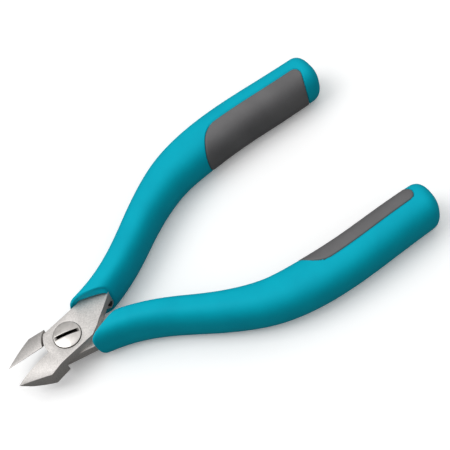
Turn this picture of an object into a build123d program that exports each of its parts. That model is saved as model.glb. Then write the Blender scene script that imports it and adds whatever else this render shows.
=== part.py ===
from build123d import *

import os
from math import cos, pi, radians, sin, sqrt

# Diagonal cutting pliers with a lap joint, millimetres, +Z up.
# The origin is on the pivot axis, halfway through the head. +Y points at the jaw tips.
# Everything is laid out with the jaws shut, each half about the plane X = 0, and is
# then turned by half of the opening angle: front parts one way, rear parts the other.
# The front half carries the upper lap plate, and its handle is on the +X side.

# --- driving dimensions -------------------------------------------------------
HALF_OPENING = 9.5          # degrees that each half turns from shut to open

PLATE_THICKNESS = 3.0       # each lap plate; the head is two plates thick
LAP_GAP = 0.04              # running gap between the two plates
HEAD_HALF_WIDTH = 5.45
PLATE_ARC_RADIUS = 7.1      # round front end of each lap plate
SHOULDER_RADIUS = 7.75      # hollow shoulder of the other jaw, around that end
ARC_MIDDLE_ANGLE = 24.0     # degrees from +Y of a point part of the way along those arcs
HEAD_CLEARANCE = 14.0       # cutters reach this far to each side, past the whole head

JAW_GAP = 0.1               # left between the cutting edges when shut
JAW_TIP_Y = 19.2
JAW_CORNER = (5.85, 10.7)   # widest point of a jaw
JAW_ROOT = (5.45, 5.9)      # where the jaw's outer wall leaves the plate's edge
TOP_GRIND_START = ((0.2, 8.6), (5.5, 5.6))  # front jaw: line where its top starts to fall
TOP_GRIND_RADIUS = 16.0
CROWN_RADIUS = 11.0         # rear jaw: its top is round across
CROWN_START = (4.0, 3.98)   # y and z of the crown's top line, over the cutting edge
CROWN_END = (20.0, -0.06)
UNDER_GRIND_START_Y = 10.4
UNDER_GRIND_RADIUS = 17.0
BEVEL_ANGLE = 35.0          # of the cutting bevel, from upright
BEVEL_START = (6.5, 3.0)    # y and z where the line of the bevel starts
BEVEL_END = (19.2, 0.15)

SCREW_HEAD_RADIUS = 4.08
SCREW_HEAD_HOLE_RADIUS = 4.25
SCREW_HEAD_SEAT = 1.4       # height of the seat above the lap face
SCREW_SEAT_GAP = 0.03
SCREW_RIM_HEIGHT = 0.35     # of the head's rim above the plate
SCREW_DOME_HEIGHT = 0.5     # of the head's crown above its rim
SCREW_SHANK_RADIUS = 2.7
SCREW_BORE_RADIUS = 2.74
SCREW_SLOT_WIDTH = 1.1
SCREW_SLOT_RADIUS = 7.5     # of the round-bottomed slot
SCREW_SLOT_DEPTH = 1.45
SCREW_SLOT_ANGLE = 76.5

SPRING_COIL_RADIUS = 3.9
SPRING_WIRE_RADIUS = 0.32
SPRING_PITCH = 0.7
SPRING_TURNS = 1.4
SPRING_POCKET_INNER = 3.3
SPRING_POCKET_OUTER = 4.5
SPRING_POCKET_DEPTH = 1.8
SPRING_HOLE_RADIUS = 0.45
SPRING_FLOOR_GAP = 0.05
SPRING_LEG = 1.15
SPRING_FRONT_HOLE_DEPTH = 1.0
SPRING_REAR_HOLE_DEPTH = 0.9

STOP_RADIUS = 0.8
STOP_Y = -15.5
STOP_Z = -1.2
STOP_DEPTH = 1.6
STOP_PROUD = 0.3

TANG_WIDTH = 5.2
TANG_HALF_DEPTH = 2.5

# Centre line and half sizes of a grip: x, y, half width, half depth.
GRIP_STATIONS = (
    (3.15, -5.0, 3.5, 6.8),
    (3.95, -14.8, 3.65, 7.2),
    (8.55, -29.8, 4.25, 7.4),
    (12.6, -38.6, 4.6, 7.45),
    (16.0, -47.3, 5.1, 7.5),
    (18.1, -55.8, 5.7, 7.55),
    (18.5, -64.0, 6.25, 7.6),
    (17.0, -80.0, 6.4, 7.7),
    (14.0, -95.6, 6.2, 7.8),
    (12.4, -104.5, 6.0, 7.85),
)
GRIP_END = (11.85, -109.2)    # outermost point of the rounded end
GRIP_CAP_STEPS = (0.35, 0.65, 0.85, 0.97)
GRIP_CAP_POWER = 2.4
GRIP_SECTION_POWER = 2.6
GRIP_SECTION_POINTS = 20
GRIP_MOUTH = ((6.8, -5.6), (0.0, -18.3))    # slanted mouth, outer side to inner side
GRIP_CLEARANCE = 20.0         # cutters reach this far above and below, past a whole grip
GRIP_MOUTH_LEAN = 0.1          # it also leans back, upwards in front and downwards in the rear

PAD_THICKNESS = 1.3
PAD_NEAR_END = ((17.9, -71.5), (6.6, -60.4))    # on the centre line, then past the inner side
PAD_FAR_END = ((12.3, -105.2), (1.2, -98.9))
PAD_CORNER_RADIUS = 3.4
PAD_CORNER_LIMIT = 11.0                         # corners beyond this X are rounded


# --- helpers ------------------------------------------------------------------
def mirrored(points, side):
    """Plan points of a front piece (side 1), or of the same rear piece (side -1)."""
    return [(side * x, y) for x, y in points]


def on_circle_x(radius, x):
    """Height in plan of a circle about the pivot, at a given x."""
    return sqrt(radius**2 - x**2)


def arc_point(radius, side):
    """A point part of the way along a lap plate's or a shoulder's arc."""
    angle = radians(ARC_MIDDLE_ANGLE)
    return (side * radius * sin(angle), radius * cos(angle))


# --- halves -------------------------------------------------------------------
PLATE_EDGE = [(-5.45, -5.0), (-5.1, -5.75), (-4.1, -7.9), (-3.1, -9.3), (-1.4, -12.4), (1.7, -17.5)]
SHANK_STEP = [(5.45, -6.6), (4.5, -8.15), (3.5, -9.6), (1.8, -12.7), (0.3, -15.2)]
SHANK_OUTER = [(6.6, -17.5), (HEAD_HALF_WIDTH, -7.8)]


def jaw_outline(side):
    """Outer edge of a jaw, from its tip to the root of its outer wall."""
    tip = (-JAW_GAP / 2, JAW_TIP_Y)
    corner = (-JAW_CORNER[0], JAW_CORNER[1])
    root = (-JAW_ROOT[0], JAW_ROOT[1])
    return mirrored([tip, corner, root], side)


def lap_plate_face(side):
    """Plan of a whole half at the level of its lap plate: jaw, plate and shank."""
    arc_y = on_circle_x(PLATE_ARC_RADIUS, HEAD_HALF_WIDTH)
    arc_start = (side * HEAD_HALF_WIDTH, arc_y)
    arc_middle = arc_point(PLATE_ARC_RADIUS, side)
    arc_end = (-side * JAW_GAP / 2, on_circle_x(PLATE_ARC_RADIUS, JAW_GAP / 2))
    shank = [*SHANK_OUTER, (HEAD_HALF_WIDTH, arc_y)]
    with BuildSketch() as face:
        with BuildLine():
            ThreePointArc(arc_start, arc_middle, arc_end)
            Polyline(
                arc_end,
                *jaw_outline(side),
                *mirrored(PLATE_EDGE, side),
                *mirrored(shank, side),
            )
        make_face()
    return face.sketch


def jaw_block_face(side):
    """Plan of a jaw on the other level, where it ends in a hollow shoulder."""
    shoulder_x = JAW_ROOT[0]
    shoulder_y = on_circle_x(SHOULDER_RADIUS, shoulder_x)
    arc_start = (-side * shoulder_x, shoulder_y)
    arc_middle = arc_point(SHOULDER_RADIUS, -side)
    arc_end = (-side * JAW_GAP / 2, on_circle_x(SHOULDER_RADIUS, JAW_GAP / 2))
    with BuildSketch() as face:
        with BuildLine():
            ThreePointArc(arc_start, arc_middle, arc_end)
            Polyline(arc_end, *jaw_outline(side), arc_start)
        make_face()
    return face.sketch


def shank_block_face(side):
    """Plan of a shank on the other level, behind the step that clears the other plate."""
    outline = [*SHANK_STEP, PLATE_EDGE[-1], *SHANK_OUTER]
    with BuildSketch() as face:
        with BuildLine():
            Polyline(*mirrored(outline, side), close=True)
        make_face()
    return face.sketch


def tang_face(side):
    """Plan of the tang, a bar of even width along the middle of the grip."""
    points = [(x, y) for x, y, width, depth in GRIP_STATIONS[1:]]
    with BuildSketch() as face:
        with BuildLine():
            Spline(*mirrored(points, side))
        trace(line_width=TANG_WIDTH)
    return face.sketch


def top_grind_cutter(side):
    """Everything above the jaw's top face, which curves down from the plate to the tip."""
    (ax, ay), (bx, by) = TOP_GRIND_START
    length = sqrt((bx - ax) ** 2 + (by - ay) ** 2)
    along = Vector(-side * (bx - ax) / length, (by - ay) / length, 0)
    forward = Vector(-side * (ay - by) / length, (bx - ax) / length, 0)
    z_dir = forward.cross(Vector(0, 0, 1))
    start = Plane(origin=(-side * ax, ay, PLATE_THICKNESS), x_dir=forward, z_dir=z_dir)
    reach = 10.0
    drop = TOP_GRIND_RADIUS - on_circle_x(TOP_GRIND_RADIUS, reach)
    half = reach / 2
    half_drop = TOP_GRIND_RADIUS - on_circle_x(TOP_GRIND_RADIUS, half)
    with BuildPart() as cutter:
        with BuildSketch(start):
            with BuildLine():
                ThreePointArc((0, 0), (half, -half_drop), (reach, -drop))
                Polyline((reach, -drop), (reach, 2), (0, 2), (0, 0))
            make_face()
        extrude(amount=HEAD_CLEARANCE, both=True)
    return cutter.part


def crown_cutter():
    """Everything above the rear jaw's top face, which is round across and slopes to the tip."""
    (y0, z0), (y1, z1) = CROWN_START, CROWN_END
    half = 9.0
    drop = CROWN_RADIUS - on_circle_x(CROWN_RADIUS, half)
    top_line = Vector(0, y1 - y0, z1 - z0)
    start = Plane(origin=(0, y0, z0), x_dir=(1, 0, 0), z_dir=(0, -1, 0))
    with BuildPart() as cutter:
        with BuildSketch(start):
            with BuildLine():
                ThreePointArc((-half, -drop), (0, 0), (half, -drop))
                Polyline((half, -drop), (half, 3), (-half, 3), (-half, -drop))
            make_face()
        extrude(amount=top_line.length, dir=top_line)
    return cutter.part


def under_grind_cutter():
    """Everything below the jaws' underside, which curves up to the tips."""
    start = Plane(origin=(0, UNDER_GRIND_START_Y, -PLATE_THICKNESS), x_dir=(0, 1, 0), z_dir=(1, 0, 0))
    reach = 9.4
    rise = UNDER_GRIND_RADIUS - on_circle_x(UNDER_GRIND_RADIUS, reach)
    half = reach / 2
    half_rise = UNDER_GRIND_RADIUS - on_circle_x(UNDER_GRIND_RADIUS, half)
    with BuildPart() as cutter:
        with BuildSketch(start):
            with BuildLine():
                ThreePointArc((0, 0), (half, half_rise), (reach, rise))
                Polyline((reach, rise), (reach, -2), (0, -2), (0, 0))
            make_face()
        extrude(amount=HEAD_CLEARANCE, both=True)
    return cutter.part


def bevel_cutter(side):
    """The wedge below a cutting edge that leaves the bevel behind it."""
    depth = 8.0
    offset = depth * sin(radians(BEVEL_ANGLE)) / cos(radians(BEVEL_ANGLE))
    (y0, z0), (y1, z1) = BEVEL_START, BEVEL_END
    overrun = 1.2
    edge_line = Vector(0, (y1 - y0) * overrun, (z1 - z0) * overrun)
    start = Plane(origin=(0, y0, z0), x_dir=(1, 0, 0), z_dir=(0, -1, 0))
    edge_x = -side * JAW_GAP / 2
    with BuildPart() as cutter:
        with BuildSketch(start):
            with BuildLine():
                Polyline(
                    (edge_x, 0),
                    (edge_x - side * offset, -depth),
                    (side, -depth),
                    (side, 0),
                    close=True,
                )
            make_face()
        extrude(amount=edge_line.length, dir=edge_line)
    return cutter.part


def half_blank(side, plate_bottom, block_bottom, top_cutter):
    """One half before its joint is drilled: jaw, lap plate, shank and tang."""
    thickness = PLATE_THICKNESS - LAP_GAP / 2
    with BuildPart() as blank:
        with BuildSketch(Plane.XY.offset(plate_bottom)):
            add(lap_plate_face(side))
        extrude(amount=thickness)
        with BuildSketch(Plane.XY.offset(block_bottom)):
            add(jaw_block_face(side))
            add(shank_block_face(side))
        extrude(amount=PLATE_THICKNESS + LAP_GAP / 2)
        with BuildSketch(Plane.XY.offset(-TANG_HALF_DEPTH)):
            add(tang_face(side))
        extrude(amount=2 * TANG_HALF_DEPTH)
        add(top_cutter, mode=Mode.SUBTRACT)
        add(under_grind_cutter(), mode=Mode.SUBTRACT)
        add(bevel_cutter(side), mode=Mode.SUBTRACT)
    return blank.part


def half_drilled(side, blank, name):
    """A finished half, turned to the rest pose, with its holes for the screw and spring."""
    with BuildPart() as half:
        add(blank.rotate(Axis.Z, side * HALF_OPENING))
        if name == "front":
            with Locations((0, 0, 0)):
                Cylinder(SCREW_BORE_RADIUS, 4 * PLATE_THICKNESS, mode=Mode.SUBTRACT)
            with Locations((0, 0, SCREW_HEAD_SEAT)):
                Cylinder(
                    SCREW_HEAD_HOLE_RADIUS,
                    PLATE_THICKNESS,
                    align=(Align.CENTER, Align.CENTER, Align.MIN),
                    mode=Mode.SUBTRACT,
                )
            with Locations(spring_end_place()):
                Cylinder(SPRING_HOLE_RADIUS, 2 * SPRING_FRONT_HOLE_DEPTH, mode=Mode.SUBTRACT)
            with Locations(stop_plane().location):
                Cylinder(STOP_RADIUS, 2 * STOP_DEPTH, mode=Mode.SUBTRACT)
        else:
            with Locations((0, 0, 0)):
                Cylinder(SCREW_SHANK_RADIUS, 4 * PLATE_THICKNESS, mode=Mode.SUBTRACT)
            with BuildSketch(Plane.XY.offset(-SPRING_POCKET_DEPTH)):
                Circle(SPRING_POCKET_OUTER)
                Circle(SPRING_POCKET_INNER, mode=Mode.SUBTRACT)
            extrude(amount=SPRING_POCKET_DEPTH, mode=Mode.SUBTRACT)
            with Locations((SPRING_COIL_RADIUS, 0, -SPRING_POCKET_DEPTH)):
                Cylinder(SPRING_HOLE_RADIUS, 2 * SPRING_REAR_HOLE_DEPTH, mode=Mode.SUBTRACT)
    return half.part


def spring_end_place():
    """Where the spring's upper leg enters the front half, on the lap face."""
    angle = 2 * pi * SPRING_TURNS
    return (SPRING_COIL_RADIUS * cos(angle), SPRING_COIL_RADIUS * sin(angle), 0)


def stop_plane():
    """The stop's own plane at rest: its Z points out of the shank's inner wall."""
    (ax, ay), (bx, by) = PLATE_EDGE[-2:]
    wall_length = sqrt((bx - ax) ** 2 + (by - ay) ** 2)
    fraction = (STOP_Y - ay) / (by - ay)
    outward = Vector((by - ay) / wall_length, -(bx - ax) / wall_length, 0)
    origin = Vector(ax + fraction * (bx - ax), STOP_Y, STOP_Z)
    turned_origin = origin.rotate(Axis.Z, HALF_OPENING)
    return Plane(origin=turned_origin, z_dir=outward.rotate(Axis.Z, HALF_OPENING))


# --- grips --------------------------------------------------------------------
def grip_sections(side, inset):
    """Sections of a grip from its mouth to its rounded end: plane, half width, half depth."""
    centres = [Vector(side * x, y, 0) for x, y, width, depth in GRIP_STATIONS]
    sizes = [(width - inset, depth - inset) for x, y, width, depth in GRIP_STATIONS]
    last = len(centres) - 1
    sections = []
    for index, (centre, size) in enumerate(zip(centres, sizes)):
        tangent = centres[min(index + 1, last)] - centres[max(index - 1, 0)]
        sections.append((grip_plane(centre, tangent, side), *size))
    cap = Vector(side * GRIP_END[0], GRIP_END[1], 0) - centres[-1]
    for step in GRIP_CAP_STEPS:
        scale = (1 - step**GRIP_CAP_POWER) ** (1 / GRIP_CAP_POWER)
        plane = grip_plane(centres[-1] + cap * step, cap, side)
        sections.append((plane, sizes[-1][0] * scale, sizes[-1][1] * scale))
    return sections


def grip_plane(centre, tangent, side):
    """Plane across a grip, with its X axis towards the outer side."""
    return Plane(origin=centre, x_dir=tangent.rotate(Axis.Z, side * 90), z_dir=tangent)


def grip_loft(sections):
    """Solid through a row of sections."""
    with BuildPart() as body:
        for plane, width, depth in sections:
            with BuildSketch(plane):
                with BuildLine():
                    Spline(*superellipse(width, depth), periodic=True)
                make_face()
        loft()
    return body.part


def grip_body(side, inset=0.0):
    """A grip's form up to its last full section, or the same form shrunk by an inset."""
    return grip_loft(grip_sections(side, inset)[: len(GRIP_STATIONS)])


def grip_cap(side):
    """A grip's rounded end."""
    return grip_loft(grip_sections(side, 0)[len(GRIP_STATIONS) - 1 :])


def superellipse(width, depth):
    """Points of a rounded-square section, from its half sizes."""
    power = 2 / GRIP_SECTION_POWER
    points = []
    for index in range(GRIP_SECTION_POINTS):
        angle = 2 * pi * index / GRIP_SECTION_POINTS
        x = width * abs(cos(angle)) ** power
        y = depth * abs(sin(angle)) ** power
        points.append((x if cos(angle) >= 0 else -x, y if sin(angle) >= 0 else -y))
    return points


def pad_face(side):
    """Plan of the space that a pad takes, from the grip's centre line inwards."""
    near, far = PAD_NEAR_END, PAD_FAR_END
    middle = [(x, y) for x, y, width, depth in GRIP_STATIONS if far[0][1] < y < near[0][1]]
    with BuildSketch() as face:
        with BuildLine():
            Spline(*mirrored([near[0], *middle, far[0]], side))
            Polyline(*mirrored([far[0], far[1], near[1], near[0]], side))
        make_face()
        corners = face.vertices().filter_by(lambda v: abs(v.X) > PAD_CORNER_LIMIT)
        fillet(corners, PAD_CORNER_RADIUS)
    return face.sketch


def pad_body(side):
    """A pad: the inner half of the grip's skin, between the pad's two ends."""
    with BuildPart() as pad:
        with BuildSketch(Plane.XY.offset(-GRIP_CLEARANCE)):
            add(pad_face(side))
        extrude(amount=2 * GRIP_CLEARANCE)
        add(grip_body(side), mode=Mode.INTERSECT)
        add(grip_body(side, PAD_THICKNESS), mode=Mode.SUBTRACT)
    return pad.part


def grip_shell(side, blank, pad):
    """A grip, cut off slanted at its mouth, hollow for its tang and recessed for its pad."""
    (ax, ay), (bx, by) = GRIP_MOUTH
    normal = (-side * (by - ay), bx - ax, side * (bx - ax) * GRIP_MOUTH_LEAN)
    mouth = Plane(origin=(side * ax, ay, 0), z_dir=normal)
    with BuildPart() as grip:
        add(grip_body(side))
        add(grip_cap(side))
        split(bisect_by=mouth, keep=Keep.TOP)
        add(blank, mode=Mode.SUBTRACT)
        add(pad, mode=Mode.SUBTRACT)
    return grip.part


os.makedirs("parts", exist_ok=True)

# --- the two halves, their grips and their pads ---------------------------------
for half_name, side in (("front", 1), ("rear", -1)):
    if half_name == "front":
        blank = half_blank(side, LAP_GAP / 2, -PLATE_THICKNESS, top_grind_cutter(side))
    else:
        blank = half_blank(side, -PLATE_THICKNESS, -LAP_GAP / 2, crown_cutter())
    pad = pad_body(side)
    grip = grip_shell(side, blank, pad)
    turn = side * HALF_OPENING
    pieces = {
        "half": half_drilled(side, blank, half_name),
        "grip": grip.rotate(Axis.Z, turn),
        "pad": pad.rotate(Axis.Z, turn),
    }
    for piece_name, piece in pieces.items():
        piece.label = f"{half_name}_{piece_name}"
        export_step(piece, f"parts/{piece.label}.step")

# --- pivot screw ----------------------------------------------------------------
seat = SCREW_HEAD_SEAT + SCREW_SEAT_GAP
rim = PLATE_THICKNESS + SCREW_RIM_HEIGHT
crown = rim + SCREW_DOME_HEIGHT
dome_middle = SCREW_HEAD_RADIUS / 2
with BuildPart() as pivot_screw:
    with BuildSketch(Plane.XZ):
        with BuildLine():
            Polyline(
                (0, crown),
                (0, -PLATE_THICKNESS),
                (SCREW_SHANK_RADIUS, -PLATE_THICKNESS),
                (SCREW_SHANK_RADIUS, seat),
                (SCREW_HEAD_RADIUS, seat),
                (SCREW_HEAD_RADIUS, rim),
            )
            ThreePointArc(
                (SCREW_HEAD_RADIUS, rim),
                (dome_middle, crown - SCREW_DOME_HEIGHT / 4),
                (0, crown),
            )
        make_face()
    revolve(axis=Axis.Z)
    slot_direction = Vector(1, 0, 0).rotate(Axis.Z, SCREW_SLOT_ANGLE)
    slot_centre = (0, 0, crown - SCREW_SLOT_DEPTH + SCREW_SLOT_RADIUS)
    slot_normal = slot_direction.rotate(Axis.Z, 90)
    with BuildSketch(Plane(origin=slot_centre, x_dir=slot_direction, z_dir=slot_normal)):
        Circle(SCREW_SLOT_RADIUS)
    extrude(amount=SCREW_SLOT_WIDTH / 2, both=True, mode=Mode.SUBTRACT)
pivot_screw.part.label = "pivot_screw"
export_step(pivot_screw.part, "parts/pivot_screw.step")

# --- return spring: a torsion coil in the joint, one leg in each half --------------
coil_height = SPRING_PITCH * SPRING_TURNS
coil_bottom = -SPRING_POCKET_DEPTH + SPRING_WIRE_RADIUS + SPRING_FLOOR_GAP
coil_top = coil_bottom + coil_height
end_x, end_y, end_z = spring_end_place()
with BuildPart() as return_spring:
    with BuildLine(Plane.XY.offset(coil_bottom)) as coil:
        Helix(SPRING_PITCH, coil_height, SPRING_COIL_RADIUS)
    with BuildSketch(Plane(origin=coil.line @ 0, z_dir=coil.line % 0)):
        Circle(SPRING_WIRE_RADIUS)
    sweep(path=coil.line, is_frenet=True)
    with Locations((SPRING_COIL_RADIUS, 0, coil_bottom), (end_x, end_y, coil_top)):
        Sphere(SPRING_WIRE_RADIUS)
    with Locations((SPRING_COIL_RADIUS, 0, coil_bottom)):
        Cylinder(SPRING_WIRE_RADIUS, SPRING_LEG, align=(Align.CENTER, Align.CENTER, Align.MAX))
    with Locations((end_x, end_y, coil_top)):
        Cylinder(SPRING_WIRE_RADIUS, SPRING_LEG, align=(Align.CENTER, Align.CENTER, Align.MIN))
return_spring.part.label = "return_spring"
export_step(return_spring.part, "parts/return_spring.step")

# --- closing stop: a small black plug in the front shank's inner wall --------------
with BuildPart() as closing_stop:
    with BuildSketch(stop_plane().offset(-STOP_DEPTH)):
        Circle(STOP_RADIUS)
    extrude(amount=STOP_DEPTH + STOP_PROUD)
    fillet(closing_stop.faces().filter_by(GeomType.PLANE)[-1].edges(), STOP_PROUD / 2)
closing_stop.part.label = "closing_stop"
export_step(closing_stop.part, "parts/closing_stop.step")
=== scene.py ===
from math import cos, pi, radians, sin, sqrt

import bmesh
import bpy
import numpy as np
from mathutils import Matrix, Vector


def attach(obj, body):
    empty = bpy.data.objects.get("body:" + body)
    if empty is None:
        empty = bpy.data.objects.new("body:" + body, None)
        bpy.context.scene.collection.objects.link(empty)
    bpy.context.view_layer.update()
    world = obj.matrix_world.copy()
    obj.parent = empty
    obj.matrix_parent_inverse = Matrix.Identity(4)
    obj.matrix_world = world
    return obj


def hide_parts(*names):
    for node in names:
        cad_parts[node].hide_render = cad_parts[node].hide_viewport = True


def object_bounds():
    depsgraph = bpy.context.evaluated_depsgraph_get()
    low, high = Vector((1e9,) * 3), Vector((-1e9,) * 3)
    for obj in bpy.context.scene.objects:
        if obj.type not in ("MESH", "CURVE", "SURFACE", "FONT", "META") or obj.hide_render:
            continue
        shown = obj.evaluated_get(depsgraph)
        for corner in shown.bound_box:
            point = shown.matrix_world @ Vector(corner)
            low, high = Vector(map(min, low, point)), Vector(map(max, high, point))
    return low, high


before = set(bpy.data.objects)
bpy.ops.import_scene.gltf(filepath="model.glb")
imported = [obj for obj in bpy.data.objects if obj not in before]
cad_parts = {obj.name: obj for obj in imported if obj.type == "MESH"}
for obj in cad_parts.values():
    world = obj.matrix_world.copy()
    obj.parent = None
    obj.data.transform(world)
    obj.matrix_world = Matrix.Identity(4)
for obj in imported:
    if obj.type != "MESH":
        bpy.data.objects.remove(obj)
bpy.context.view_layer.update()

MM = 0.001

# The same numbers as the CAD model's, in millimetres, with the jaws shut.
HALF_OPENING = 9.5
GRIP_STATIONS = (
    (3.15, -5.0, 3.5, 6.8),
    (3.95, -14.8, 3.65, 7.2),
    (8.55, -29.8, 4.25, 7.4),
    (12.6, -38.6, 4.6, 7.45),
    (16.0, -47.3, 5.1, 7.5),
    (18.1, -55.8, 5.7, 7.55),
    (18.5, -64.0, 6.25, 7.6),
    (17.0, -80.0, 6.4, 7.7),
    (14.0, -95.6, 6.2, 7.8),
    (12.4, -104.5, 6.0, 7.85),
)
GRIP_END = (11.85, -109.2)
GRIP_CAP_POWER = 2.4
GRIP_SECTION_POWER = 2.6      # roundness of a section along most of the grip
GRIP_MOUTH_POWER = 3.2        # and at the mouth, which is boxier
GRIP_MOUTH_REACH = 34.0       # how far from the mouth the sections grow round
GRIP_MOUTH = ((6.8, -5.6), (0.0, -18.3))
GRIP_MOUTH_LEAN = 0.1         # the halves are alike but turned over, so this changes side
PAD_NEAR_END = ((17.9, -71.5), (6.6, -60.4))
PAD_FAR_END = ((12.3, -105.2), (1.2, -98.9))


# --- materials ------------------------------------------------------------------
def srgb(r, g, b):
    """A colour given in 0-255 display values, as linear RGBA."""
    def linear(v):
        v /= 255
        return v / 12.92 if v <= 0.04045 else ((v + 0.055) / 1.055) ** 2.4
    return (linear(r), linear(g), linear(b), 1)


def new_material(name):
    """An empty node material, with its node tree, shader and object-space position."""
    material = bpy.data.materials.new(name)
    material.use_nodes = True
    tree = material.node_tree
    shader = tree.nodes["Principled BSDF"]
    place = tree.nodes.new("ShaderNodeTexCoord").outputs["Object"]
    return material, tree, shader, place


def noise(tree, place, size_mm, detail=3.0, stretch=None):
    """Noise with features about size_mm wide, drawn out along an axis if stretch is given."""
    if stretch:
        mapping = tree.nodes.new("ShaderNodeMapping")
        mapping.inputs["Scale"].default_value = stretch
        tree.links.new(place, mapping.inputs["Vector"])
        place = mapping.outputs["Vector"]
    node = tree.nodes.new("ShaderNodeTexNoise")
    node.inputs["Scale"].default_value = 1 / (size_mm * MM)
    node.inputs["Detail"].default_value = detail
    tree.links.new(place, node.inputs["Vector"])
    return node.outputs["Fac"]


NOISE_LOW = 0.3               # noise stays mostly between these
NOISE_HIGH = 0.7


def ramp(tree, value, low, high):
    """Turns a 0-1 value into a colour between low and high."""
    node = tree.nodes.new("ShaderNodeValToRGB")
    node.color_ramp.elements[0].position = NOISE_LOW
    node.color_ramp.elements[0].color = low
    node.color_ramp.elements[1].position = NOISE_HIGH
    node.color_ramp.elements[1].color = high
    tree.links.new(value, node.inputs["Fac"])
    return node.outputs["Color"]


def span(tree, value, low, high):
    """Turns a 0-1 value into a number between low and high."""
    node = tree.nodes.new("ShaderNodeMapRange")
    node.inputs["From Min"].default_value = NOISE_LOW
    node.inputs["From Max"].default_value = NOISE_HIGH
    node.inputs["To Min"].default_value = low
    node.inputs["To Max"].default_value = high
    tree.links.new(value, node.inputs["Value"])
    return node.outputs["Result"]


def bump(tree, height, depth_mm, shader, under=None):
    """Adds fine relief to a shader, on top of the relief under it."""
    node = tree.nodes.new("ShaderNodeBump")
    node.inputs["Strength"].default_value = 1.0
    node.inputs["Distance"].default_value = depth_mm * MM
    tree.links.new(height, node.inputs["Height"])
    if under:
        tree.links.new(under, node.inputs["Normal"])
    tree.links.new(node.outputs["Normal"], shader.inputs["Normal"])
    return node.outputs["Normal"]


def soft_touch(name, low, high, grain_mm, roughness, gloss):
    """Moulded elastomer: fine sparkle of the mould, slight mottling and scuffs."""
    material, tree, shader, place = new_material(name)
    mottle = noise(tree, place, 9.0, 4.0)
    grain = noise(tree, place, grain_mm, 2.0)
    tree.links.new(ramp(tree, mottle, low, high), shader.inputs["Base Color"])
    tree.links.new(span(tree, grain, *roughness), shader.inputs["Roughness"])
    shader.inputs["Specular IOR Level"].default_value = gloss
    soft = bump(tree, noise(tree, place, 2.4, 2.0), 0.02, shader)
    bump(tree, grain, 0.012, shader, soft)
    return material


def ground_steel(name, low, high, roughness, grind):
    """Satin steel: fine grinding lines along one axis, under a finer blasted speckle."""
    material, tree, shader, place = new_material(name)
    speckle = noise(tree, place, 0.35, 4.0)
    lines = noise(tree, place, 0.14, 3.0, grind)
    tree.links.new(ramp(tree, speckle, low, high), shader.inputs["Base Color"])
    shader.inputs["Metallic"].default_value = 0.8
    tree.links.new(span(tree, lines, *roughness), shader.inputs["Roughness"])
    fine = bump(tree, lines, 0.004, shader)
    bump(tree, speckle, 0.01, shader, fine)
    return material


SCREW_SLOT_SHADE_TOP = (3.0, 3.4)  # heights above the lap between which the painted shade low in the slot fades out


def turned_steel(name, low, high, slot_shade, roughness):
    """Lathe-turned steel with fine rings about the pivot axis, and painted shade low in its slot."""
    material, tree, shader, place = new_material(name)
    rings = tree.nodes.new("ShaderNodeTexWave")
    rings.wave_type = "RINGS"
    rings.rings_direction = "Z"
    rings.inputs["Scale"].default_value = 0.9 / MM
    rings.inputs["Distortion"].default_value = 0.6
    tree.links.new(place, rings.inputs["Vector"])
    cloud = noise(tree, place, 1.6, 4.0)
    height = tree.nodes.new("ShaderNodeSeparateXYZ")
    tree.links.new(place, height.inputs["Vector"])
    # Painted shade: below these heights the base colour turns to the dark slot shade.
    above_slot_shade = tree.nodes.new("ShaderNodeMapRange")
    above_slot_shade.inputs["From Min"].default_value = SCREW_SLOT_SHADE_TOP[0] * MM
    above_slot_shade.inputs["From Max"].default_value = SCREW_SLOT_SHADE_TOP[1] * MM
    tree.links.new(height.outputs["Z"], above_slot_shade.inputs["Value"])
    mix = tree.nodes.new("ShaderNodeMix")
    mix.data_type = "RGBA"
    mix.inputs["A"].default_value = slot_shade
    tree.links.new(above_slot_shade.outputs["Result"], mix.inputs["Factor"])
    tree.links.new(ramp(tree, cloud, low, high), mix.inputs["B"])
    tree.links.new(mix.outputs["Result"], shader.inputs["Base Color"])
    tree.links.new(span(tree, cloud, *roughness), shader.inputs["Roughness"])
    shader.inputs["Metallic"].default_value = 1.0
    bump(tree, rings.outputs["Fac"], 0.003, shader)
    return material


TEAL = soft_touch("teal_soft_touch", srgb(0, 166, 189), srgb(0, 175, 197), 0.22, (0.5, 0.64), 0.08)
PAD_GREY = soft_touch("pad_soft_touch", srgb(94, 93, 94), srgb(106, 105, 106), 0.3, (0.45, 0.58), 0.45)
BLACK = soft_touch("black_elastomer", srgb(18, 18, 18), srgb(26, 26, 26), 0.2, (0.5, 0.6), 0.3)
STEEL = ground_steel("satin_steel", srgb(190, 187, 184), srgb(216, 212, 209), (0.5, 0.62), (1, 0.25, 1))
# The third colour is painted shade for the low part of the screw's slot.
SCREW = turned_steel(
    "turned_steel", srgb(196, 192, 188), srgb(214, 210, 206), srgb(22, 20, 19), (0.26, 0.36)
)
WIRE = ground_steel("spring_wire", srgb(120, 118, 116), srgb(150, 148, 146), (0.25, 0.4), (1, 1, 0.1))


# --- mesh helpers ---------------------------------------------------------------
def make_object(name, vertices, faces, material, sharp_angle=40):
    """A smooth-shaded mesh object from points in metres."""
    mesh = bpy.data.meshes.new(name)
    mesh.from_pydata([tuple(v) for v in vertices], [], faces)
    mesh.update()
    obj = bpy.data.objects.new(name, mesh)
    bpy.context.scene.collection.objects.link(obj)
    mesh.materials.append(material)
    finish_shading(mesh, sharp_angle)
    return obj


def finish_shading(mesh, sharp_angle):
    """Faces outwards, smooth shading, sharp edges kept sharp."""
    bm = bmesh.new()
    bm.from_mesh(mesh)
    bmesh.ops.recalc_face_normals(bm, faces=bm.faces)
    bm.to_mesh(mesh)
    bm.free()
    mesh.shade_smooth()
    mesh.set_sharp_from_angle(angle=radians(sharp_angle))


HALF_EASE = 0.14
SCREW_EASE = 0.1
EASE_SEGMENTS = 3
EASE_ANGLE = 28               # edges sharper than this are eased
EASED_SHARP_ANGLE = 32
WELD_DISTANCE = 0.001
FLAT_ANGLE = 1.0              # facets that turn by less than this are joined


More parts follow.
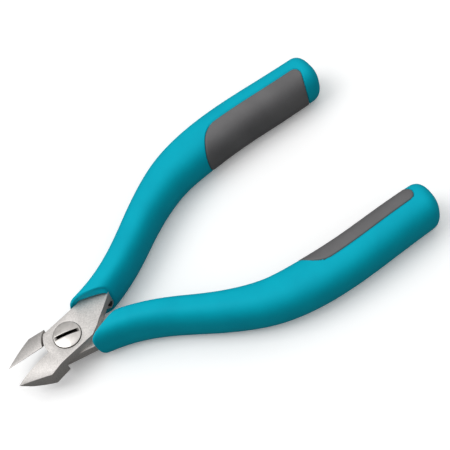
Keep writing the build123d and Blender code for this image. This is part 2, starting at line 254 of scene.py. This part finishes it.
def eased_copy(node, name, material, width_mm):
    """A copy of a CAD node with its sharp edges eased by a small round."""
    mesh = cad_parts[node].data.copy()
    mesh.name = name
    mesh.materials.clear()
    mesh.materials.append(material)
    obj = bpy.data.objects.new(name, mesh)
    bpy.context.scene.collection.objects.link(obj)
    bm = bmesh.new()
    bm.from_mesh(mesh)
    bmesh.ops.remove_doubles(bm, verts=bm.verts, dist=WELD_DISTANCE * MM)
    bmesh.ops.dissolve_limit(
        bm, angle_limit=radians(FLAT_ANGLE), verts=bm.verts, edges=bm.edges, delimit=set()
    )
    bm.to_mesh(mesh)
    bm.free()
    if "custom_normal" in mesh.attributes:
        mesh.attributes.remove(mesh.attributes["custom_normal"])
    bevel = obj.modifiers.new("ease", "BEVEL")
    bevel.width = width_mm * MM
    bevel.segments = EASE_SEGMENTS
    bevel.limit_method = "ANGLE"
    bevel.angle_limit = radians(EASE_ANGLE)
    bevel.use_clamp_overlap = True
    bevel.harden_normals = False
    apply_modifiers(obj)
    obj.data.shade_smooth()
    obj.data.set_sharp_from_angle(angle=radians(EASED_SHARP_ANGLE))
    return obj


def apply_modifiers(obj):
    """Replaces an object's mesh with its evaluated one."""
    depsgraph = bpy.context.evaluated_depsgraph_get()
    mesh = bpy.data.meshes.new_from_object(obj.evaluated_get(depsgraph))
    mesh.name = obj.name
    obj.modifiers.clear()
    obj.data = mesh


# --- grips ----------------------------------------------------------------------
LIP_ROUND = 0.7               # of the mouth's outer edge
LIP_STEPS = 6
LIP_SIDE_WALL = 0.95          # beside the shank; above and below it the wall is thicker
OPENING_HALF_DEPTH = 3.9
OPENING_POWER = 9.0
OPENING_ROUND = 0.25          # of the edge of the opening
MOUTH_DEPTH = 6.0
MOUTH_SEARCH = 5.0            # how far past its own end the mouth's cut is looked for
MOUTH_ROWS = 34
FACE_ROWS = 5
BISECTIONS = 40


class GripForm:
    """The outer surface of one grip, as points for a place along it and an angle round it."""

    def __init__(self, side):
        self.side = side
        self.rows = np.array(GRIP_STATIONS, float)
        steps = np.linalg.norm(np.diff(self.rows[:, :2], axis=0), axis=1)
        self.places = np.concatenate([[0], np.cumsum(steps)])
        self.bends = self.natural_bends()
        self.length = self.places[-1]
        self.mouth_end = self.places[2] + 1
        self.cap = np.array(GRIP_END) - self.rows[-1, :2]
        self.cap_length = float(np.linalg.norm(self.cap))
        turn = radians(side * HALF_OPENING)
        self.turn = np.array([[cos(turn), -sin(turn)], [sin(turn), cos(turn)]])

    def natural_bends(self):
        """Second derivatives of the natural cubic spline through the stations."""
        count = len(self.places)
        h = np.diff(self.places)
        matrix = np.eye(count)
        right = np.zeros((count, self.rows.shape[1]))
        for i in range(1, count - 1):
            matrix[i, i - 1 : i + 2] = h[i - 1], 2 * (h[i - 1] + h[i]), h[i]
            slopes = np.diff(self.rows[i - 1 : i + 2], axis=0) / h[i - 1 : i + 1, None]
            right[i] = 6 * (slopes[1] - slopes[0])
        return np.linalg.solve(matrix, right)

    def station(self, s):
        """Centre x, y, half width and half depth at distance s, with the direction there."""
        s = min(s, self.length)
        i = int(np.clip(np.searchsorted(self.places, s) - 1, 0, len(self.places) - 2))
        h = self.places[i + 1] - self.places[i]
        a = (self.places[i + 1] - s) / h
        b = 1 - a
        low, high = self.rows[i], self.rows[i + 1]
        m0, m1 = self.bends[i], self.bends[i + 1]
        value = a * low + b * high + ((a**3 - a) * m0 + (b**3 - b) * m1) * h * h / 6
        slope = (high - low) / h + ((3 * b * b - 1) * m1 - (3 * a * a - 1) * m0) * h / 6
        direction = slope[:2] / np.linalg.norm(slope[:2])
        return value, direction

    def plan_point(self, s, angle, inset=0.0):
        """A point of the surface with the jaws shut, before the half is turned; x points out."""
        value, direction = self.station(s)
        centre = value[:2]
        scale = 1.0
        if s > self.length:
            step = min((s - self.length) / self.cap_length, 1.0)
            scale = (1 - step**GRIP_CAP_POWER) ** (1 / GRIP_CAP_POWER)
            centre = centre + self.cap * step
            direction = self.cap / self.cap_length
        boxy = max(0.0, 1 - s / GRIP_MOUTH_REACH) ** 1.5
        power = 2 / (GRIP_SECTION_POWER + (GRIP_MOUTH_POWER - GRIP_SECTION_POWER) * boxy)
        c, n = cos(angle), sin(angle)
        across = (value[2] * scale - inset) * np.sign(c) * abs(c) ** power
        up = (value[3] * scale - inset) * np.sign(n) * abs(n) ** power
        outward = np.array([-direction[1], direction[0]])
        x, y = centre + across * outward
        return np.array([x, y, up])

    def opening_point(self, s, angle, widen=0.0):
        """A point of the mouth's hollow, a boxy tunnel round the shank."""
        value, direction = self.station(s)
        power = 2 / OPENING_POWER
        c, n = cos(angle), sin(angle)
        across = (value[2] - LIP_SIDE_WALL + widen) * np.sign(c) * abs(c) ** power
        up = (OPENING_HALF_DEPTH + widen) * np.sign(n) * abs(n) ** power
        x, y = value[:2] + across * np.array([-direction[1], direction[0]])
        return np.array([x, y, up])

    def placed(self, point):
        """A point of the shut grip, mirrored for its side, turned to rest and in metres."""
        x, y = self.turn @ np.array([self.side * point[0], point[1]])
        return np.array([x, y, point[2]]) * MM

    def cut_place(self, line, angle, low, high, lean=0.0, surface=None):
        """Distance along the grip where a surface crosses a line of the plan, or a leaning plane."""
        surface = surface or self.plan_point
        (ax, ay), (bx, by) = line
        for _ in range(BISECTIONS):
            middle = (low + high) / 2
            x, y, z = surface(middle, angle)
            y += lean * self.side * z
            beyond = (bx - ax) * (y - ay) - (by - ay) * (x - ax)
            if beyond > 0:
                high = middle
            else:
                low = middle
        return (low + high) / 2


COLUMNS = 176
PAD_PROUD = 0.06
PAD_RECESS = 0.7
PAD_EDGE_ROUND = 0.45
PAD_CORNER_RADIUS = 3.4
SEAM_HALF_WIDTH = 0.1
PAD_GAP = 0.06                # between a pad and the wall of its recess
PAD_BACK = 1.1                # depth of a pad's back under the grip's surface
PAD_GIRTH_PLACE = 0.72        # where along the grip a pad's width is measured
PAD_GIRTH_POINTS = 241
PAD_NEAR_SEARCH = (35, 85)    # distances along the grip between which the near end lies
PAD_FAR_SEARCH = 70
PAD_SIDE_SLOPE = 6.0          # millimetres a radian, past the sides of a pad
PAD_ROWS_START = 58.0         # rings are closer together from here on, for the pad's recess
PAD_RECESS_RANGE = (50, 110)
PAD_CORNER_STEPS = 12
PAD_EDGE_SPACING = 0.7
PAD_EDGE_PLACES = (0.0, 0.03, 0.09, 0.17, 0.28, PAD_EDGE_ROUND)
PAD_TOP_STEPS = 30
PAD_BACK_STEPS = 12


class PadPlace:
    """Where a pad lies on its grip, as a rounded rectangle w by l on the unrolled surface."""

    def __init__(self, form):
        self.form = form
        self.angles = np.linspace(pi / 2, 3 * pi / 2, PAD_GIRTH_POINTS)
        middle = form.length * PAD_GIRTH_PLACE
        points = np.array([form.plan_point(middle, a) for a in self.angles])
        steps = np.linalg.norm(np.diff(points, axis=0), axis=1)
        self.girths = np.concatenate([[0], np.cumsum(steps)])
        self.width = self.girths[-1]
        end = form.length + form.cap_length
        self.near = np.array([form.cut_place(PAD_NEAR_END, a, *PAD_NEAR_SEARCH) for a in self.angles])
        self.far = np.array([form.cut_place(PAD_FAR_END, a, PAD_FAR_SEARCH, end) for a in self.angles])
        self.length = float(np.mean(self.far - self.near))

    def edge_distance(self, w, l):
        """How far inside the rounded rectangle a point is; negative outside."""
        r = PAD_CORNER_RADIUS
        qx = abs(w - self.width / 2) - (self.width / 2 - r)
        ql = abs(l - self.length / 2) - (self.length / 2 - r)
        outside = sqrt(max(qx, 0) ** 2 + max(ql, 0) ** 2)
        return -(outside + min(max(qx, ql), 0) - r)

    def unrolled(self, s, angle):
        """The w and l of a surface place."""
        angle = angle % (2 * pi)
        w = np.interp(angle, self.angles, self.girths)
        w += PAD_SIDE_SLOPE * (min(angle - pi / 2, 0) + max(angle - 3 * pi / 2, 0))
        near = np.interp(angle, self.angles, self.near)
        far = np.interp(angle, self.angles, self.far)
        return w, (s - near) / (far - near) * self.length

    def surface_place(self, w, l):
        """The distance and angle of a w and l."""
        angle = float(np.interp(w, self.girths, self.angles))
        near = np.interp(w, self.girths, self.near)
        far = np.interp(w, self.girths, self.far)
        return near + l / self.length * (far - near), angle


def grip_rows(form):
    """Distances along a grip where it has rings, past the slanted mouth."""
    rows = list(np.linspace(form.mouth_end, PAD_ROWS_START, 60))
    rows += list(np.linspace(PAD_ROWS_START, form.length, 200))[1:]
    steps = 1 - (1 - np.linspace(0, 1, 40)[1:-1]) ** 2.2
    rows += list(form.length + form.cap_length * steps)
    return rows


def grip_mesh(form, pad):
    """Vertices and faces of a grip: hollow mouth, rounded lip, pad recess and rounded end."""
    angles = [2 * pi * j / COLUMNS for j in range(COLUMNS)]
    reach = form.mouth_end + MOUTH_SEARCH
    mouth = [form.cut_place(GRIP_MOUTH, a, 0.0, reach, GRIP_MOUTH_LEAN) for a in angles]
    rings = []

    def ring(distances, insets):
        return [
            form.placed(form.plan_point(s, a, inset))
            for s, a, inset in zip(distances, angles, insets)
        ]

    # Inside of the mouth, from the floor of the hollow out to the edge of the opening.
    opening = [
        form.cut_place(GRIP_MOUTH, a, 0.0, reach, GRIP_MOUTH_LEAN, form.opening_point)
        for a in angles
    ]
    for back in (MOUTH_DEPTH, MOUTH_DEPTH / 2, OPENING_ROUND):
        rings.append([form.placed(form.opening_point(m + back, a)) for m, a in zip(opening, angles)])
    edge = [form.opening_point(m, a, OPENING_ROUND) for m, a in zip(opening, angles)]
    # The flat face of the mouth, then its rounded outer edge.
    rim = [form.plan_point(m, a, LIP_ROUND) for m, a in zip(mouth, angles)]
    for step in np.linspace(0, 1, FACE_ROWS):
        rings.append([form.placed(e + (r - e) * step) for e, r in zip(edge, rim)])
    for step in range(1, LIP_STEPS + 1):
        angle = pi / 2 * step / LIP_STEPS
        inset = LIP_ROUND * (1 - sin(angle))
        back = LIP_ROUND * (1 - cos(angle))
        rings.append(ring([m + back for m in mouth], [inset] * COLUMNS))
    # The outer surface, from the slanted mouth to a square ring, then to the rounded end.
    for step in np.linspace(0, 1, MOUTH_ROWS)[1:-1]:
        distances = [m + LIP_ROUND + (form.mouth_end - m - LIP_ROUND) * step for m in mouth]
        rings.append(ring(distances, [0.0] * COLUMNS))
    for s in grip_rows(form):
        insets = []
        for a in angles:
            inset = 0.0
            if PAD_RECESS_RANGE[0] < s < PAD_RECESS_RANGE[1]:
                w, l = pad.unrolled(s, a)
                inside = pad.edge_distance(w, l) + SEAM_HALF_WIDTH
                inset = PAD_RECESS * float(np.clip(inside / (2 * SEAM_HALF_WIDTH), 0, 1))
            insets.append(inset)
        rings.append(ring([s] * COLUMNS, insets))

    vertices = [v for r in rings for v in r]
    faces = []
    for i in range(len(rings) - 1):
        for j in range(COLUMNS):
            k = (j + 1) % COLUMNS
            a, b = i * COLUMNS, (i + 1) * COLUMNS
            faces.append((a + j, a + k, b + k, b + j))
    # Floor of the mouth's hollow and the middle of the rounded end.
    floor = len(vertices)
    vertices.append(np.mean(rings[0], axis=0))
    tip = len(vertices)
    vertices.append(form.placed(np.array([*GRIP_END, 0.0])))
    last = (len(rings) - 1) * COLUMNS
    for j in range(COLUMNS):
        k = (j + 1) % COLUMNS
        faces.append((floor, k, j))
        faces.append((tip, last + j, last + k))
    return vertices, faces


def pad_mesh(form, pad):
    """Vertices and faces of a pad: a rounded skin let into the grip, closed behind."""
    boundary = []
    r = PAD_CORNER_RADIUS
    corners = (
        (pad.width - r, pad.length - r, 0),
        (r, pad.length - r, pi / 2),
        (r, r, pi),
        (pad.width - r, r, 3 * pi / 2),
    )
    for cw, cl, start in corners:
        for step in range(PAD_CORNER_STEPS + 1):
            angle = start + pi / 2 * step / PAD_CORNER_STEPS
            boundary.append((cw + r * cos(angle), cl + r * sin(angle)))
    dense = []
    for (w0, l0), (w1, l1) in zip(boundary, boundary[1:] + boundary[:1]):
        pieces = max(1, int(sqrt((w1 - w0) ** 2 + (l1 - l0) ** 2) / PAD_EDGE_SPACING))
        for step in range(pieces):
            dense.append((w0 + (w1 - w0) * step / pieces, l0 + (l1 - l0) * step / pieces))
    count = len(dense)
    centre = (pad.width / 2, pad.length / 2)
    rings = []

    def ring(scale_w, scale_l, inset):
        out = []
        for w, l in dense:
            w2 = centre[0] + (w - centre[0]) * scale_w
            l2 = centre[1] + (l - centre[1]) * scale_l
            s, a = pad.surface_place(w2, l2)
            out.append(form.placed(form.plan_point(s, a, inset)))
        return out

    def scales(inside):
        return 1 - inside / (pad.width / 2), 1 - inside / (pad.length / 2)

    rings.append(ring(*scales(PAD_GAP), PAD_BACK))
    for inside in PAD_EDGE_PLACES:
        drop = PAD_EDGE_ROUND - sqrt(max(PAD_EDGE_ROUND**2 - (PAD_EDGE_ROUND - inside) ** 2, 0))
        rings.append(ring(*scales(inside + PAD_GAP), drop - PAD_PROUD))
    start_w, start_l = scales(PAD_EDGE_ROUND + PAD_GAP)
    for step in np.linspace(0, 1, PAD_TOP_STEPS)[1:-1]:
        rings.append(ring(start_w * (1 - step), start_l * (1 - step), -PAD_PROUD))
    vertices = [v for q in rings for v in q]
    faces = []
    for i in range(len(rings) - 1):
        for j in range(count):
            k = (j + 1) % count
            a, b = i * count, (i + 1) * count
            faces.append((a + j, a + k, b + k, b + j))
    s, a = pad.surface_place(*centre)
    middle = len(vertices)
    vertices.append(form.placed(form.plan_point(s, a, -PAD_PROUD)))
    back = len(vertices)
    vertices.append(form.placed(form.plan_point(s, a, PAD_BACK)))
    last = (len(rings) - 1) * count
    for j in range(count):
        k = (j + 1) % count
        faces.append((middle, last + j, last + k))
    # The back follows the grip's form too, so that it never shows through.
    back_rings = []
    for step in np.linspace(0, 1, PAD_BACK_STEPS)[1:-1]:
        w_scale, l_scale = scales(PAD_GAP)
        back_rings.append(ring(w_scale * (1 - step), l_scale * (1 - step), PAD_BACK))
    base = len(vertices)
    for q in back_rings:
        vertices.extend(q)
    previous = 0
    for i in range(len(back_rings)):
        current = base + i * count
        for j in range(count):
            k = (j + 1) % count
            faces.append((previous + k, previous + j, current + j, current + k))
        previous = current
    for j in range(count):
        k = (j + 1) % count
        faces.append((back, previous + k, previous + j))
    return vertices, faces


for half, side in (("front", 1), ("rear", -1)):
    body = f"{half}_body"
    form = GripForm(side)
    pad_place = PadPlace(form)
    grip = make_object(f"{half}_grip_skin", *grip_mesh(form, pad_place), TEAL, 60)
    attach(grip, body)
    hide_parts(f"{half}_grip")
    pad = make_object(f"{half}_pad_skin", *pad_mesh(form, pad_place), PAD_GREY, 60)
    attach(pad, body)
    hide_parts(f"{half}_pad")
    steel = eased_copy(f"{half}_half", f"{half}_half_steel", STEEL, HALF_EASE)
    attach(steel, body)
    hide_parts(f"{half}_half")

screw = eased_copy("pivot_screw", "pivot_screw_turned", SCREW, SCREW_EASE)
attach(screw, "rear_body")
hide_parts("pivot_screw")


def give_material(node, material):
    """Gives a CAD node one material."""
    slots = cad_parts[node].data.materials
    slots.clear()
    slots.append(material)


give_material("return_spring", WIRE)
give_material("closing_stop", BLACK)

# --- floor, camera and light ------------------------------------------------------
FLOOR_REACH = 3.0
floor_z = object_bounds()[0][2] - 0.02 * MM


def floor_plane():
    """A wide pale floor."""
    material, tree, shader, place = new_material("pale_floor")
    shade = noise(tree, place, 60.0, 2.0)
    tree.links.new(ramp(tree, shade, srgb(252, 252, 252), srgb(254, 254, 254)), shader.inputs["Base Color"])
    shader.inputs["Roughness"].default_value = 0.9
    shader.inputs["Emission Color"].default_value = (1, 1, 1, 1)
    shader.inputs["Emission Strength"].default_value = 0.1
    corners = [(x * FLOOR_REACH, y * FLOOR_REACH, floor_z) for x, y in ((-1, -1), (1, -1), (1, 1), (-1, 1))]
    plane = make_object("floor", corners, [(0, 1, 2, 3)], material)
    plane.visible_glossy = False
    plane.visible_diffuse = False


floor_plane()

# The photograph's view, as angles about a target on the mid-plane of the head.
VIEW_AZIMUTH = 254.70
VIEW_ELEVATION = 57.31
VIEW_ROLL = 21.38
VIEW_DISTANCE = 419.3
VIEW_TARGET = (2.41, -55.03, 0.0)
VIEW_LENS = 116.3


def view_axes():
    """Right, up and back directions of the camera."""
    a, e, r = radians(VIEW_AZIMUTH), radians(VIEW_ELEVATION), radians(VIEW_ROLL)
    back = Vector((sin(a) * cos(e), -cos(a) * cos(e), sin(e)))
    level_right = Vector((0, 0, 1)).cross(back).normalized()
    level_up = back.cross(level_right)
    right = level_right * cos(r) - level_up * sin(r)
    up = level_right * sin(r) + level_up * cos(r)
    return right, up, back


def add_camera():
    """The camera at the photograph's viewing angle."""
    data = bpy.data.cameras.new("camera")
    data.sensor_width = 36.0
    data.lens = VIEW_LENS
    data.clip_start = 0.01
    data.clip_end = 20.0
    camera = bpy.data.objects.new("camera", data)
    bpy.context.scene.collection.objects.link(camera)
    right, up, back = view_axes()
    axes = Matrix((right, up, back)).transposed()
    place = (Vector(VIEW_TARGET) + back * VIEW_DISTANCE) * MM
    camera.matrix_world = Matrix.Translation(place) @ axes.to_4x4()
    bpy.context.scene.camera = camera


def add_softbox(name, place, size, power):
    """A square soft light that faces the tool."""
    data = bpy.data.lights.new(name, "AREA")
    data.shape = "SQUARE"
    data.size = size
    data.energy = power
    light = bpy.data.objects.new(name, data)
    bpy.context.scene.collection.objects.link(light)
    light.location = place
    aim = Vector((0, -0.05, 0)) - Vector(place)
    light.rotation_euler = aim.to_track_quat("-Z", "Y").to_euler()


def add_studio_world():
    """A studio tent: bright overhead, falling off to a dim horizon and a dim floor."""
    world = bpy.data.worlds.new("studio")
    world.use_nodes = True
    tree = world.node_tree
    direction = tree.nodes.new("ShaderNodeTexCoord").outputs["Generated"]
    split = tree.nodes.new("ShaderNodeSeparateXYZ")
    tree.links.new(direction, split.inputs["Vector"])
    height = tree.nodes.new("ShaderNodeMapRange")
    height.inputs["From Min"].default_value = -1.0
    tree.links.new(split.outputs["Z"], height.inputs["Value"])
    shade = tree.nodes.new("ShaderNodeValToRGB")
    stops = ((0.0, 0.1), (0.5, 0.16), (0.7, 0.42), (0.88, 0.88), (1.0, 1.15))
    for _ in range(len(stops) - 2):
        shade.color_ramp.elements.new(0.5)
    for element, (position, level) in zip(shade.color_ramp.elements, stops):
        element.position = position
        element.color = (level, level, level, 1)
    tree.links.new(height.outputs["Result"], shade.inputs["Fac"])
    tree.links.new(shade.outputs["Color"], tree.nodes["Background"].inputs["Color"])
    bpy.context.scene.world = world


add_camera()
add_softbox("key", (0.15, 0.35, 0.75), 0.5, 2.4)
add_studio_world()
bpy.context.scene.view_settings.view_transform = "Standard"
